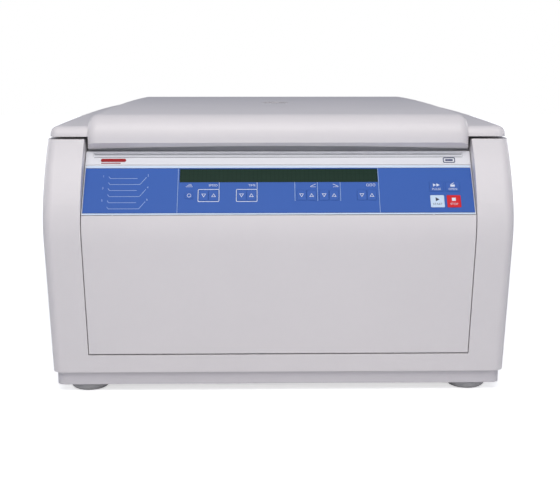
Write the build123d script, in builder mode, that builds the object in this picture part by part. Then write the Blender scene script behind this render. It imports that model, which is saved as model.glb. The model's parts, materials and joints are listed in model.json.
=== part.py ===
"""Bench-top laboratory centrifuge with a swing-out rotor.

Frame: X to the right, Y from the front to the back, Z up, millimetres. The origin is on the bench,
under the middle of the machine. "Setback" is the distance behind the foremost point of the nose.
"""
import os
from math import cos, radians, sin, tan

from build123d import *

os.makedirs("parts", exist_ok=True)

# --- driving dimensions -------------------------------------------------------------------------
width = 570.0  # front fascia, side to side
depth = 670.0  # nose to rear face
height = 350.0  # bench to the crown of the lid

front_y = -depth / 2
rear_y = depth / 2 - 2.0  # the rear panel's outer face; the socket and the switch stand 2 mm proud

# levels
tray_bottom = 10.0
tray_top = 26.0
fascia_bottom = 27.0
body_top = 318.0
lid_bottom = 321.0
deck_top = 312.0
deck_thickness = 3.0

# front fascia: a flat lower face, a round nose, and a brow that leans back to the shoulders
skin = 4.0
nose_radius = 90.0
nose_level = 213.0
lower_lean = 10.0  # degrees off vertical, below the nose
upper_lean = 20.0  # degrees off vertical, where the brow leaves the nose
brow_setback = 50.0
fascia_depth = 100.0
opening_half = 238.2  # half the clear width between the side columns
column_round = 13.0

# front service panel, set flush between the columns
panel_half = 237.2
panel_low = 52.0
panel_high = 230.6
panel_skin = 3.0

# control panel, on a plane that leans back
slant = 37.0  # degrees off vertical
slant_setback = 4.0
slant_level = 232.0
bezel_half = 237.2
bezel_thick = 5.0
bezel_length = 88.0
overlay_half = 236.0
overlay_low = 1.5
overlay_high = 64.0
overlay_thick = 0.8
display_half = 121.0
display_low = 44.0
display_high = 63.0

# keys: name -> (across, up the slope, width, height)
key_row = 25.6
key_size = (11.0, 13.5)
keys = {
    "mode_key": (-108.9, key_row, 9.0, 9.0),
    "speed_down_key": (-91.3, key_row, *key_size),
    "speed_up_key": (-79.3, key_row, *key_size),
    "time_down_key": (-45.5, key_row, *key_size),
    "time_up_key": (-33.5, key_row, *key_size),
    "acceleration_down_key": (27.3, key_row, *key_size),
    "acceleration_up_key": (39.5, key_row, *key_size),
    "braking_down_key": (54.6, key_row, *key_size),
    "braking_up_key": (66.8, key_row, *key_size),
    "bucket_down_key": (100.5, key_row, *key_size),
    "bucket_up_key": (112.7, key_row, *key_size),
    "pulse_key": (191.8, 37.0, 16.5, 13.0),
    "open_key": (211.8, 37.0, 16.5, 13.0),
    "start_key": (191.8, 16.8, 16.8, 16.8),
    "stop_key": (211.8, 16.8, 16.8, 16.8),
}
key_gap = 0.3
key_proud = 0.3
key_depth = 3.2
key_corner = 1.2

# lid
shoulder_half = 281.5
shoulder_setback = 52.0
shoulder_level = 333.5
shoulder_crown = 336.5
shoulder_round = 10.5
bulge_half = 235.0
bulge_setback = 43.5
bulge_front_level = 347.0
bulge_rear_level = 347.0
bulge_round = 27.0
bulge_rear_round = 16.0
lip_level = 314.0
lip_setback = 62.5
lip_bottom = 305.5
lip_arch = 4.0  # how far the lip's lower edge bows up in the middle
lid_skin = 3.0
lid_rear_setback = 664.0
hinge_y = 319.5
hinge_level = 317.0
pin_radius = 3.0
knuckle_radius = 5.5
hinge_x = 170.0

# sheet-metal sides and rear
sheet = 1.5
side_half = 284.0
side_front_y = front_y + fascia_depth
side_rear_y = rear_y - sheet

# rotor chamber and drive
axis_y = 10.0
bowl_radius = 205.0
bowl_floor = 152.0
bowl_wall = 1.5
deck_hole_radius = 209.0
guard_inner = 212.0
guard_outer = 222.0
seal_radius = 224.0
shaft_radius = 9.0
armature_radius = 33.3
running_gap = 0.05

# swing-out rotor
bucket_orbit = 98.0
bucket_level = 255.0  # height of the trunnion pins
bucket_radius = 44.0
bucket_wall = 3.0
bucket_above = 22.0  # rim above the pins
bucket_below = 88.0  # base below the pins
trunnion_radius = 5.0
trunnion_gap = 0.15
bucket_angles = (0, 90, 180, 270)

axis_point = (0, axis_y)
control_plane = Plane(
    origin=(0, front_y + slant_setback, slant_level),
    x_dir=(1, 0, 0),
    z_dir=(0, -cos(radians(slant)), sin(radians(slant))),
)


def save(part, name):
    """Label a finished piece and write it to its own STEP file."""
    part.label = name
    export_step(part, f"parts/{name}.step")


def slope(distance, below=0.0):
    """(Y, Z) of a point on the control plane, this far up the slope and this far under it."""
    lean = radians(slant)
    y = front_y + slant_setback + distance * sin(lean) + below * cos(lean)
    z = slant_level + distance * cos(lean) - below * sin(lean)
    return y, z


def front_profile(inset, bottom, top, back_setback):
    """Side view of the fascia as a face, moved inwards by inset."""
    low, high = radians(lower_lean), radians(upper_lean)
    radius = nose_radius - inset
    centre = (front_y + nose_radius, nose_level)
    low_y = centre[0] - radius * cos(low)
    low_z = centre[1] - radius * sin(low)
    foot = (low_y + (low_z - bottom) * tan(low), bottom)
    high_point = (centre[0] - radius * cos(high), centre[1] + radius * sin(high))
    brow = (front_y + brow_setback + inset * 0.75, top)
    back_y = front_y + back_setback
    with BuildSketch(Plane.YZ) as profile:
        with BuildLine():
            lower = Line(foot, (low_y, low_z))
            nose = ThreePointArc(lower @ 1, (centre[0] - radius, centre[1]), high_point)
            over = TangentArc(nose @ 1, brow, tangent=nose % 1)
            Polyline(over @ 1, (back_y, top), (back_y, bottom), foot)
        make_face()
    return profile.sketch


def bulge_profile(inset, floor):
    """Side view of the lid's raised middle as a face, moved inwards by inset; floor closes it below."""
    front = front_y + bulge_setback + inset
    back = front_y + lid_rear_setback - inset
    with BuildSketch(Plane.YZ) as profile:
        with BuildLine():
            crown = ThreePointArc(
                (front, bulge_front_level - inset), (0, height - inset), (back, bulge_rear_level - inset)
            )
            Polyline(crown @ 1, (back, floor[0][1]), *floor, crown @ 0)
        make_face()
        front_corner, back_corner = profile.vertices().sort_by(Axis.Y)[-2:].sort_by(Axis.X)
        fillet(front_corner, bulge_round - inset)
        back_corner = profile.vertices().sort_by_distance(back_corner)[0]
        fillet(back_corner, bulge_rear_round - inset)
    return profile.sketch


def shoulder_profile(inset, bottom=lid_bottom):
    """Side view of the lid's shoulders as a face, moved inwards by inset."""
    front = front_y + shoulder_setback + inset
    back = front_y + lid_rear_setback - inset
    with BuildSketch(Plane.YZ) as profile:
        with BuildLine():
            crown = ThreePointArc(
                (front, shoulder_level - inset), (0, shoulder_crown - inset), (back, shoulder_level - inset)
            )
            Polyline(crown @ 1, (back, bottom), (front, bottom), crown @ 0)
        make_face()
        by_height = profile.vertices().sort_by(Axis.Y)
        fillet(by_height[-2:], shoulder_round - inset)
    return profile.sketch


# --- base ---------------------------------------------------------------------------------------
tray_half = 280.5
tray_front = front_y + 36.0
tray_rear = rear_y - 3.0
with BuildPart() as base_tray:
    with BuildSketch(Plane.XY.offset(tray_bottom)):
        with Locations((0, (tray_front + tray_rear) / 2)):
            RectangleRounded(2 * tray_half, tray_rear - tray_front, 10)
    extrude(amount=tray_top - tray_bottom)
    offset(amount=-2.0, openings=base_tray.faces().sort_by(Axis.Z)[-1])
    with Locations(*[(x, axis_y + y, tray_bottom + 5) for x in (-75, 75) for y in (-75, 75)]):
        Cylinder(18, 6)
save(base_tray.part, "base_tray")

foot_radius = 25.5
foot_sole = 19.0  # radius of the flat underside
foot_x = 242.0
foot_rows = (front_y + 63.0, rear_y - 50.0)
with BuildPart() as rubber_feet:
    with BuildSketch(Plane.XZ):
        with BuildLine():
            Line((0, 0), (foot_sole, 0))
            ThreePointArc((foot_sole, 0), (foot_radius - 1.7, 3.2), (foot_radius, 8.5))
            Polyline((foot_radius, 8.5), (foot_radius, tray_bottom), (0, tray_bottom), (0, 0))
        make_face()
    revolve(axis=Axis.Z)
foot = rubber_feet.part
with BuildPart() as rubber_feet:
    with Locations(*[(x, y, 0) for x in (-foot_x, foot_x) for y in foot_rows]):
        add(foot)
save(rubber_feet.part, "rubber_feet")

# --- front fascia -------------------------------------------------------------------------------
with BuildPart() as fascia_core:
    side_view = front_profile(skin, fascia_bottom - 5, body_top - skin, fascia_depth + 20)
    extrude(side_view, amount=width / 2 - skin, both=True)
    fillet(
        fascia_core.edges().filter_by(lambda e: abs(abs(e.center().X) - width / 2 + skin) < 0.1)
        .filter_by(lambda e: e.center().Y < front_y + 60),
        column_round - skin,
    )

column_inner = opening_half + skin
with BuildPart() as front_fascia:
    side_view = front_profile(0, fascia_bottom, body_top, fascia_depth)
    extrude(side_view, amount=width / 2, both=True)
    fillet(
        front_fascia.edges().filter_by(lambda e: abs(abs(e.center().X) - width / 2) < 0.1)
        .filter_by(lambda e: e.center().Y < front_y + 60),
        column_round,
    )
    add(fascia_core.part, mode=Mode.SUBTRACT)
    # the cheeks, one each side of the opening
    side_view = front_profile(1.0, fascia_bottom, body_top - 1, fascia_depth)
    extrude(side_view, amount=column_inner, both=True)
    with BuildSketch(Plane.YZ):  # everything between the cheeks, above the lower rail
        with Locations((0, (panel_low - 1.5 + height) / 2)):
            Rectangle(2 * depth, height - panel_low + 1.5)
    extrude(amount=opening_half, both=True, mode=Mode.SUBTRACT)
    # the back of the lower rail
    side_view = front_profile(skin, fascia_bottom - 5, body_top - skin, fascia_depth + 20)
    extrude(side_view, amount=opening_half, both=True, mode=Mode.SUBTRACT)
save(front_fascia.part, "front_fascia")

with BuildPart() as front_panel:
    side_view = front_profile(0.3, fascia_bottom, body_top, fascia_depth)
    extrude(side_view, amount=panel_half, both=True)
    side_view = front_profile(0.3 + panel_skin, 0, height, fascia_depth + 20)
    extrude(side_view, amount=width, both=True, mode=Mode.SUBTRACT)
    with BuildSketch(Plane.YZ):
        with Locations((0, (panel_low + panel_high) / 2)):
            Rectangle(2 * depth, panel_high - panel_low)
    extrude(amount=width, both=True, mode=Mode.INTERSECT)
save(front_panel.part, "front_panel")

# --- control panel ------------------------------------------------------------------------------
groove_low, groove_high = 68.0, 69.0  # fine line above the blue field
cove_low, cove_high = 79.0, 85.5  # shallow hollow under the lid's lip
ledge_y = front_y + 70.0
ledge_wall = 3.0
deck_bottom = deck_top - deck_thickness


def slab(plane, left, right, low, high, top, bottom):
    """A box on a plane, from its top down to its bottom, both measured along the plane's normal."""
    with BuildPart() as made:
        with BuildSketch(plane.offset(bottom)):
            with Locations(((left + right) / 2, (low + high) / 2)):
                Rectangle(right - left, high - low)
        extrude(amount=top - bottom)
    return made.part


def key_blocks(extra, top, bottom):
    """All the keys as one set of blocks, each grown by extra all round, for cutting their holes."""
    with BuildPart() as made:
        with BuildSketch(control_plane.offset(bottom)):
            for across, up, key_width, key_height in keys.values():
                with Locations((across, up)):
                    RectangleRounded(key_width + 2 * extra, key_height + 2 * extra, key_corner + extra)
        extrude(amount=top - bottom)
    return made.part


key_holes = key_blocks(key_gap, 1.0, -2 * bezel_thick)
with BuildPart() as control_bezel:
    with BuildSketch(Plane.YZ):
        with BuildLine():
            Polyline(
                slope(-1.1),
                slope(bezel_length),
                (ledge_y, 303.0),
                (ledge_y, deck_bottom),
                (ledge_y + ledge_wall, deck_bottom),
                (ledge_y + ledge_wall, 299.6),
                slope(84.0, bezel_thick),
                slope(2.63, bezel_thick),
                close=True,
            )
        make_face()
    extrude(amount=bezel_half, both=True)
    pocket = (-overlay_half - 0.3, overlay_half + 0.3, overlay_low - 0.3, overlay_high + 0.3)
    add(slab(control_plane, *pocket, 1, -overlay_thick), mode=Mode.SUBTRACT)
    add(slab(control_plane, -width, width, groove_low, groove_high, 1, -0.5), mode=Mode.SUBTRACT)
    add(slab(control_plane, -228, 228, cove_low, cove_high, 1, -1.2), mode=Mode.SUBTRACT)
    display_hole = (-display_half, display_half, display_low, display_high)
    add(slab(control_plane, *display_hole, 1, -2 * bezel_thick), mode=Mode.SUBTRACT)
    add(key_holes, mode=Mode.SUBTRACT)
save(control_bezel.part, "control_bezel")

with BuildPart() as keypad_overlay:
    add(slab(control_plane, -overlay_half, overlay_half, overlay_low, overlay_high, 0, -overlay_thick))
    add(slab(control_plane, *display_hole, 1, -2 * bezel_thick), mode=Mode.SUBTRACT)
    add(key_holes, mode=Mode.SUBTRACT)
save(keypad_overlay.part, "keypad_overlay")

with BuildPart() as display_window:
    lens = (-display_half + 0.2, display_half - 0.2, display_low + 0.2, display_high - 0.2)
    add(slab(control_plane, *lens, -0.4, -3.4))
save(display_window.part, "display_window")

board_top = -8.0
with BuildPart() as control_board:
    add(slab(control_plane, -226, 226, 6, 60, board_top, board_top - 1.6))
    add(slab(control_plane, -display_half + 2, display_half - 2, display_low + 1, 59.5, -3.6, board_top))
    with BuildSketch(control_plane.offset(board_top)):
        for across, up, _, _ in keys.values():
            with Locations((across, up)):
                Rectangle(6, 6)
    extrude(amount=3.8)
save(control_board.part, "control_board")

for name, (across, up, key_width, key_height) in keys.items():
    with BuildPart() as key:
        with BuildSketch(control_plane.offset(key_proud - key_depth)):
            with Locations((across, up)):
                RectangleRounded(key_width, key_height, key_corner)
        extrude(amount=key_depth)
    save(key.part, name)

# --- cabinet ------------------------------------------------------------------------------------
flange_inner = side_half - 12.0
flange_rear = 300.0
for name, side in (("left_side_panel", -1), ("right_side_panel", 1)):
    middle_y = (side_front_y + side_rear_y) / 2
    with BuildPart() as side_panel:
        with Locations((side * (side_half - sheet / 2), middle_y, (fascia_bottom + body_top) / 2)):
            Box(sheet, side_rear_y - side_front_y, body_top - fascia_bottom)
        with Locations(
            (
                side * (side_half + flange_inner) / 2,
                (side_front_y + flange_rear) / 2,
                body_top - sheet / 2,
            )
        ):
            Box(side_half - flange_inner, flange_rear - side_front_y, sheet)
        with BuildSketch(Plane.YZ.offset(side * side_half)):
            with Locations((190, 100)):
                with GridLocations(0, 11, 1, 9):
                    SlotOverall(150, 4.5)
        extrude(amount=width / 20, both=True, mode=Mode.SUBTRACT)
        if side < 0:
            with Locations(Location((-side_half, -190, 60), (0, 90, 0))):
                Cylinder(6.2, 10, mode=Mode.SUBTRACT)
    save(side_panel.part, name)

with BuildPart() as lid_release_plug:
    with Locations(Location((-side_half + 1.25, -190, 60), (0, 90, 0))):
        Cylinder(6.0, 4.5)
    with Locations(Location((-side_half - 0.5, -190, 60), (0, 90, 0))):
        Cylinder(8.5, 1.0)
save(lid_release_plug.part, "lid_release_plug")

module_x, module_z = -205.0, 92.0  # power entry: mains socket with the rocker switch above it
module_width, module_height = 52.0, 74.0
socket_z = module_z - 16.0
switch_z = module_z + 18.0
rear_top = 308.0
port_x, port_z = 190.0, 70.0
rear_plane = Plane(origin=(0, rear_y, 0), x_dir=(-1, 0, 0), z_dir=(0, 1, 0))
with BuildPart() as rear_panel:
    with BuildSketch(rear_plane):
        with Locations((0, (fascia_bottom + rear_top) / 2)):
            Rectangle(2 * (side_half - 0.2), rear_top - fascia_bottom)
        with Locations((-module_x, module_z)):
            Rectangle(module_width - 3.4, module_height - 3.4, mode=Mode.SUBTRACT)
        with Locations((-port_x, port_z)):
            Rectangle(26.0, 10.0, mode=Mode.SUBTRACT)
        with Locations((0, 215)):
            with GridLocations(72, 11, 6, 11):
                SlotOverall(58, 4.5, mode=Mode.SUBTRACT)
    extrude(amount=-sheet)
save(rear_panel.part, "rear_panel")

socket_depth = 16.0
pin_reach = 13.0
with BuildPart() as mains_inlet:
    with BuildSketch(rear_plane):
        with Locations((-module_x, module_z)):
            RectangleRounded(module_width, module_height, 3)
    extrude(amount=2.0)
    with BuildSketch(rear_plane):
        with Locations((-module_x, module_z)):
            Rectangle(module_width - 4.0, module_height - 4.0)
    extrude(amount=-34.0)
    with BuildSketch(rear_plane.offset(2.0)):
        with Locations((-module_x, socket_z)):
            chamfer(Rectangle(27.0, 20.0).vertices().group_by(Axis.Y)[-1], 5.0)
    extrude(amount=-socket_depth - 2.0, mode=Mode.SUBTRACT)
    with BuildSketch(rear_plane.offset(-socket_depth)):
        with Locations((-module_x, socket_z + 0.5), *[(-module_x + x, socket_z - 4) for x in (-7, 7)]):
            Rectangle(2.0, 4.0)
    extrude(amount=pin_reach)
    with BuildSketch(rear_plane.offset(2.0)):
        with Locations((-module_x, switch_z)):
            Rectangle(16.0, 27.0)
    extrude(amount=-18.0, mode=Mode.SUBTRACT)
save(mains_inlet.part, "mains_inlet")

rocker_pivot = (rear_y - 5.0, switch_z)
rocker_tilt = 7.0
with BuildPart() as power_switch:
    upright = Plane(origin=(module_x, *rocker_pivot), x_dir=(0, 1, 0), z_dir=(1, 0, 0))
    tilted = upright.rotated((rocker_tilt, 0, 0))
    with BuildSketch(tilted):
        with BuildLine():
            face = ThreePointArc((5.6, 11.4), (4.4, 0), (5.6, -11.4))
            Polyline(face @ 1, (-1, -11.4), (-7, -5), (-7, 5), (-1, 11.4), face @ 0)
        make_face()
    extrude(amount=7.2, both=True)
    with Locations(Location((module_x, *rocker_pivot), (0, 90, 0))):  # pivot stubs
        Cylinder(2.0, 15.8)
save(power_switch.part, "power_switch")

with BuildPart() as data_port_cover:
    with BuildSketch(rear_plane):
        with Locations((-port_x, port_z)):
            RectangleRounded(38.0, 15.0, 2)
    extrude(amount=1.2)
    with BuildSketch(rear_plane):
        with Locations((-port_x, port_z)):
            Rectangle(25.0, 9.0)
    extrude(amount=-10.0)
save(data_port_cover.part, "data_port_cover")

deck_front = ledge_y
deck_half = side_half - sheet - 0.2
lock_x = 190.0
with BuildPart() as deck_plate:
    with BuildSketch(Plane.XY.offset(deck_bottom)):
        with Locations((0, (side_front_y + flange_rear) / 2)):
            Rectangle(2 * deck_half, flange_rear - side_front_y - 0.2)
        with Locations((0, (deck_front + side_front_y) / 2 + 1)):
            Rectangle(2 * panel_half, side_front_y - deck_front + 2)
        with Locations(axis_point):
            Circle(deck_hole_radius, mode=Mode.SUBTRACT)
        with Locations((-lock_x, -241), (lock_x, -241)):
            Rectangle(34, 26, mode=Mode.SUBTRACT)
    extrude(amount=deck_thickness)
save(deck_plate.part, "deck_plate")

# --- chamber ------------------------------------------------------------------------------------
with BuildPart() as chamber_bowl:
    with BuildSketch(Plane.XZ.offset(-axis_y)):
        with BuildLine():
            flange = Line((bowl_radius + 25, deck_top), (bowl_radius + 25, deck_top + bowl_wall))
            rim = Line(flange @ 1, (bowl_radius, deck_top + bowl_wall))
            wall = Line(rim @ 1, (bowl_radius, bowl_floor + bowl_wall + 24))
            corner = JernArc(wall @ 1, tangent=wall % 1, radius=24, arc_size=-90)
            floor = Line(corner @ 1, (30, bowl_floor + bowl_wall))
            drop = Line(floor @ 1, (30, bowl_floor))
            under = Line(drop @ 1, (bowl_radius - 24, bowl_floor))
            outer = JernArc(under @ 1, tangent=under % 1, radius=24 + bowl_wall, arc_size=90)
            Polyline(outer @ 1, (bowl_radius + bowl_wall, deck_top), flange @ 0)
        make_face()
    revolve(axis=Axis((0, axis_y, 0), (0, 0, 1)))
save(chamber_bowl.part, "chamber_bowl")

seal_bottom = deck_top + bowl_wall
seal_top = lid_bottom + 2.0 - 0.3
with BuildPart() as chamber_seal:
    with BuildSketch(Plane.XZ.offset(-axis_y)):
        with BuildLine():
            inner, outer = seal_radius - 5, seal_radius + 5
            Polyline(
                (inner, seal_bottom + 4), (inner, seal_bottom), (outer, seal_bottom), (outer, seal_bottom + 4)
            )
            ThreePointArc((outer, seal_bottom + 4), (seal_radius, seal_top), (inner, seal_bottom + 4))
        make_face()
    revolve(axis=Axis((0, axis_y, 0), (0, 0, 1)))
save(chamber_seal.part, "chamber_seal")


def ring(outer, inner, bottom, top):
    """A plain ring round the drive axis."""
    with BuildPart() as made:
        with BuildSketch(Plane.XY.offset(bottom)):
            with Locations(axis_point):
                Circle(outer)
                if inner:
                    Circle(inner, mode=Mode.SUBTRACT)
        extrude(amount=top - bottom)
    return made.part


with BuildPart() as guard_ring:
    add(ring(guard_outer, guard_inner, 160, deck_bottom))
save(guard_ring.part, "guard_ring")

# --- motor and its mounting ---------------------------------------------------------------------
mount_bottom, mount_top = 60.0, 66.0
motor_radius = 60.0
neck_radius = 26.0
neck_top = 160.0
bearing_radius = 17.0
with BuildPart() as motor_mount_plate:
    with BuildSketch(Plane.XY.offset(mount_bottom)):
        with Locations(axis_point):
            RectangleRounded(190, 190, 20)
            Circle(motor_radius + 0.5, mode=Mode.SUBTRACT)
    extrude(amount=mount_top - mount_bottom)
save(motor_mount_plate.part, "motor_mount_plate")

with BuildPart() as damper:
    with BuildSketch(Plane.XZ):
        with BuildLine():
            Polyline((0, 18), (16, 18), (16, 22))
            ThreePointArc((16, 22), (12, 39), (16, 56))
            Polyline((16, 56), (16, mount_bottom), (0, mount_bottom), (0, 18))
        make_face()
    revolve(axis=Axis.Z)
with BuildPart() as motor_dampers:
    with Locations(*[(x, axis_y + y, 0) for x in (-75, 75) for y in (-75, 75)]):
        add(damper.part)
save(motor_dampers.part, "motor_dampers")

with BuildPart() as motor_housing:
    add(ring(motor_radius, 54, 20, 140))
    add(ring(80, 54, mount_top, mount_top + 6))
    add(ring(54, armature_radius + 0.7, 50, 120))
    add(ring(54, shaft_radius + 2, 134, 140))
    add(ring(neck_radius, shaft_radius + 2, 140, neck_top))
    add(ring(bearing_radius, 0, 144, 156), mode=Mode.SUBTRACT)
    add(ring(54, 0, 20, 26))
    add(ring(bearing_radius + 5, bearing_radius, 26, 38))
save(motor_housing.part, "motor_housing")

with BuildPart() as motor_bearings:
    add(ring(bearing_radius, shaft_radius + running_gap, 144, 156))
    add(ring(bearing_radius, shaft_radius + running_gap, 26, 38))
save(motor_bearings.part, "motor_bearings")

with BuildPart() as shaft_boot:
    with BuildSketch(Plane.XZ.offset(-axis_y)):
        with BuildLine():
            base = bowl_floor + bowl_wall
            bore = neck_radius + running_gap
            Polyline((bore, base), (38, base), (38, base + 1.5), (33, base + 1.5))
            ThreePointArc((33, base + 1.5), (31, base + 4.6), (bore, base + 5))
            Line((bore, base + 5), (bore, base))
        make_face()
    revolve(axis=Axis((0, axis_y, 0), (0, 0, 1)))
save(shaft_boot.part, "shaft_boot")

electronics_rear = -224.0
with BuildPart() as power_electronics:
    with Locations((0, electronics_rear - 22, 62)):
        Box(300, 44, 100)
    with Locations((0, electronics_rear - 50, 62)):
        with GridLocations(14, 0, 20, 1):
            Box(3, 16, 90)
    with Locations(*[(x, electronics_rear - 20, 117) for x in (-100, -60, -20)]):  # capacitors
        Cylinder(14, 24)
save(power_electronics.part, "power_electronics")

# --- rotor --------------------------------------------------------------------------------------
hub_bottom, hub_top = 198.0, 262.0
stud_radius, stud_length = 6.0, 14.0
with BuildPart() as drive_shaft:
    add(ring(shaft_radius, 0, 26.4, hub_top))
    add(ring(15, 0, 188, hub_bottom))
    add(ring(stud_radius, 0, hub_top, hub_top + stud_length))
save(drive_shaft.part, "drive_shaft")

with BuildPart() as motor_armature:
    add(ring(armature_radius, shaft_radius, 50, 120))
save(motor_armature.part, "motor_armature")

pin_from = 46.5  # the trunnion pins' ends, across the bucket
plate_from, plate_to = 57.0, 65.0
plate_tip = bucket_orbit + 14.0
with BuildPart() as rotor_yoke:
    add(ring(27, 0, hub_bottom, hub_top))
    for angle in bucket_angles:
        with BuildSketch(Plane.XY.offset(bucket_level - 17)):
            with Locations(Location((0, axis_y), angle + 45)):
                with Locations((44, 0)):
                    Rectangle(88, 15)
        extrude(amount=24)
        with BuildSketch(Plane.XY.offset(bucket_level - 17)):
            with Locations(Location((0, axis_y), angle)):
                for side in (-1, 1):
                    with Locations(((plate_tip + plate_from) / 2, side * (plate_from + plate_to) / 2)):
                        Rectangle(plate_tip - plate_from, plate_to - plate_from)
        extrude(amount=29)
        with Locations(Location((0, axis_y, bucket_level), (0, 0, angle))):
            for side in (-1, 1):
                pin_middle = side * (pin_from + plate_to) / 2
                with Locations(Location((bucket_orbit, pin_middle, 0), (90, 0, 0))):
                    Cylinder(trunnion_radius, plate_to - pin_from)
    add(ring(shaft_radius, 0, hub_bottom, hub_top), mode=Mode.SUBTRACT)
save(rotor_yoke.part, "rotor_yoke")

with BuildPart() as rotor_knob:
    with BuildSketch(Plane.XY.offset(hub_top)):
        with Locations(axis_point):
            Circle(22)
            with PolarLocations(25, 8):
                Circle(6, mode=Mode.SUBTRACT)
    extrude(amount=8)
    with BuildSketch(Plane.XY.offset(hub_top + 8)):
        with Locations(axis_point):
            Circle(17)
    extrude(amount=18)
    fillet(rotor_knob.faces().sort_by(Axis.Z)[-1].edges(), 4)
    with BuildSketch(Plane.XY.offset(hub_top)):
        with Locations(axis_point):
            Circle(stud_radius + running_gap)
    extrude(amount=stud_length, mode=Mode.SUBTRACT)
save(rotor_knob.part, "rotor_knob")

bucket_base = bucket_level - bucket_below
bucket_rim = bucket_level + bucket_above
with BuildPart() as bucket:
    with BuildSketch(Plane.XY.offset(bucket_base)):
        Circle(bucket_radius)
    extrude(amount=bucket_rim - bucket_base)
    fillet(bucket.faces().sort_by(Axis.Z)[0].edges(), 8)
    with Locations((0, 0, bucket_level)):  # bosses that hang on the trunnion pins
        Box(24, 106, 28)
    with BuildSketch(Plane.XY.offset(bucket_base + 5)):
        Circle(bucket_radius - bucket_wall)
    extrude(amount=bucket_rim - bucket_base, mode=Mode.SUBTRACT)
    groove = trunnion_radius + trunnion_gap
    for side in (-1, 1):
        with BuildSketch(Plane.XZ.offset(-side * 45.5)):
            with Locations((0, bucket_level)):
                Circle(groove)
            with Locations((0, bucket_level - 8)):
                Rectangle(2 * groove, 16)
        extrude(amount=-side * 10, mode=Mode.SUBTRACT)
for number, angle in enumerate(bucket_angles, 1):
    turned = bucket.part.rotate(Axis.Z, angle)
    x, y = bucket_orbit * cos(radians(angle)), bucket_orbit * sin(radians(angle))
    save(turned.moved(Location((x, axis_y + y, 0))), f"bucket_{number}")

# --- lid ----------------------------------------------------------------------------------------
lip_y = front_y + lip_setback
outer_floor = [
    (lip_y, lid_bottom),
    (lip_y, lip_bottom),
    (lip_y - 3.5, lip_bottom),
    (front_y + bulge_setback, lip_level),
]
cavity_floor = [
    (lip_y, 300.0),
    (lip_y, lip_bottom + lip_arch + 3.0),
    (front_y + bulge_setback + lid_skin, lip_level + 2.4),
]
bulge_edge = 12.5
with BuildPart() as bulge_core:
    extrude(bulge_profile(lid_skin, cavity_floor), amount=bulge_half - lid_skin, both=True)
    fillet(
        bulge_core.edges().filter_by(lambda e: abs(e.center().X) > bulge_half - lid_skin - 0.1)
        .filter_by(lambda e: e.center().Z > 322),
        bulge_edge - lid_skin,
    )

with BuildPart() as shoulder_core:
    extrude(shoulder_profile(lid_skin, lid_bottom - 5), amount=shoulder_half - lid_skin, both=True)

with BuildPart() as raised:
    extrude(bulge_profile(0, outer_floor), amount=bulge_half, both=True)
    fillet(
        raised.edges().filter_by(lambda e: abs(e.center().X) > bulge_half - 0.1)
        .filter_by(lambda e: e.center().Z > 322),
        bulge_edge,
    )

window_radius = 19.8
plate_bottom, plate_top = lid_bottom + 2.0, lid_bottom + 5.0
boss_rows = ((-225, 346.6), (270, 346.5))  # each row's place along Y and the height its bosses reach
with BuildPart() as lid_cover:
    extrude(shoulder_profile(0), amount=shoulder_half, both=True)
    fillet(
        lid_cover.edges().filter_by(lambda e: abs(e.center().X) > shoulder_half - 0.1)
        .filter_by(lambda e: e.center().Z > 325),
        shoulder_round - 1.0,
    )
    add(raised.part)
    add(bulge_core.part, mode=Mode.SUBTRACT)
    add(shoulder_core.part, mode=Mode.SUBTRACT)
    for row_y, row_top in boss_rows:
        with BuildSketch(Plane.XY.offset(plate_top)):
            with Locations((-200, row_y), (0, row_y), (200, row_y)):
                Circle(7)
        extrude(amount=row_top - plate_top)
    with Locations((*axis_point, height)):
        Cylinder(window_radius + 0.2, 60, mode=Mode.SUBTRACT)
    with BuildSketch(Plane.XZ.offset(-lip_y)):
        with BuildLine():
            arch = ThreePointArc(
                (-bulge_half, lip_bottom), (0, lip_bottom + lip_arch), (bulge_half, lip_bottom)
            )
            Polyline(arch @ 1, (bulge_half, lip_bottom - 5), (-bulge_half, lip_bottom - 5), arch @ 0)
        make_face()
    extrude(amount=lip_setback, mode=Mode.SUBTRACT)
save(lid_cover.part, "lid_cover")

plate_half = 266.0
plate_front, plate_rear = -262.0, 300.0
stem_radius = 15.8
with BuildPart() as lid_inner_plate:
    with BuildSketch(Plane.XY.offset(plate_bottom)):
        with Locations((0, (plate_front + plate_rear) / 2)):
            RectangleRounded(2 * plate_half, plate_rear - plate_front, 24)
        with Locations(axis_point):
            Circle(stem_radius + 0.2, mode=Mode.SUBTRACT)
    extrude(amount=plate_top - plate_bottom)
save(lid_inner_plate.part, "lid_inner_plate")

with BuildPart() as lid_window:
    add(ring(stem_radius, 0, plate_bottom, height - 4))
    add(ring(window_radius, 0, height - 5, height - 0.8))
save(lid_window.part, "lid_window")

arm_half = 15.0
arm_front = 245.0
with BuildPart() as lid_hinge_arms:
    for side in (-1, 1):
        with BuildSketch(Plane.YZ.offset(side * hinge_x - arm_half)):
            with Locations((hinge_y, hinge_level)):
                Circle(knuckle_radius)
            with Locations(((arm_front + hinge_y) / 2, plate_bottom - 2)):
                Rectangle(hinge_y - arm_front, 4)
            with Locations((hinge_y, hinge_level)):
                Circle(pin_radius + running_gap, mode=Mode.SUBTRACT)
        extrude(amount=2 * arm_half)
save(lid_hinge_arms.part, "lid_hinge_arms")

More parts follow.
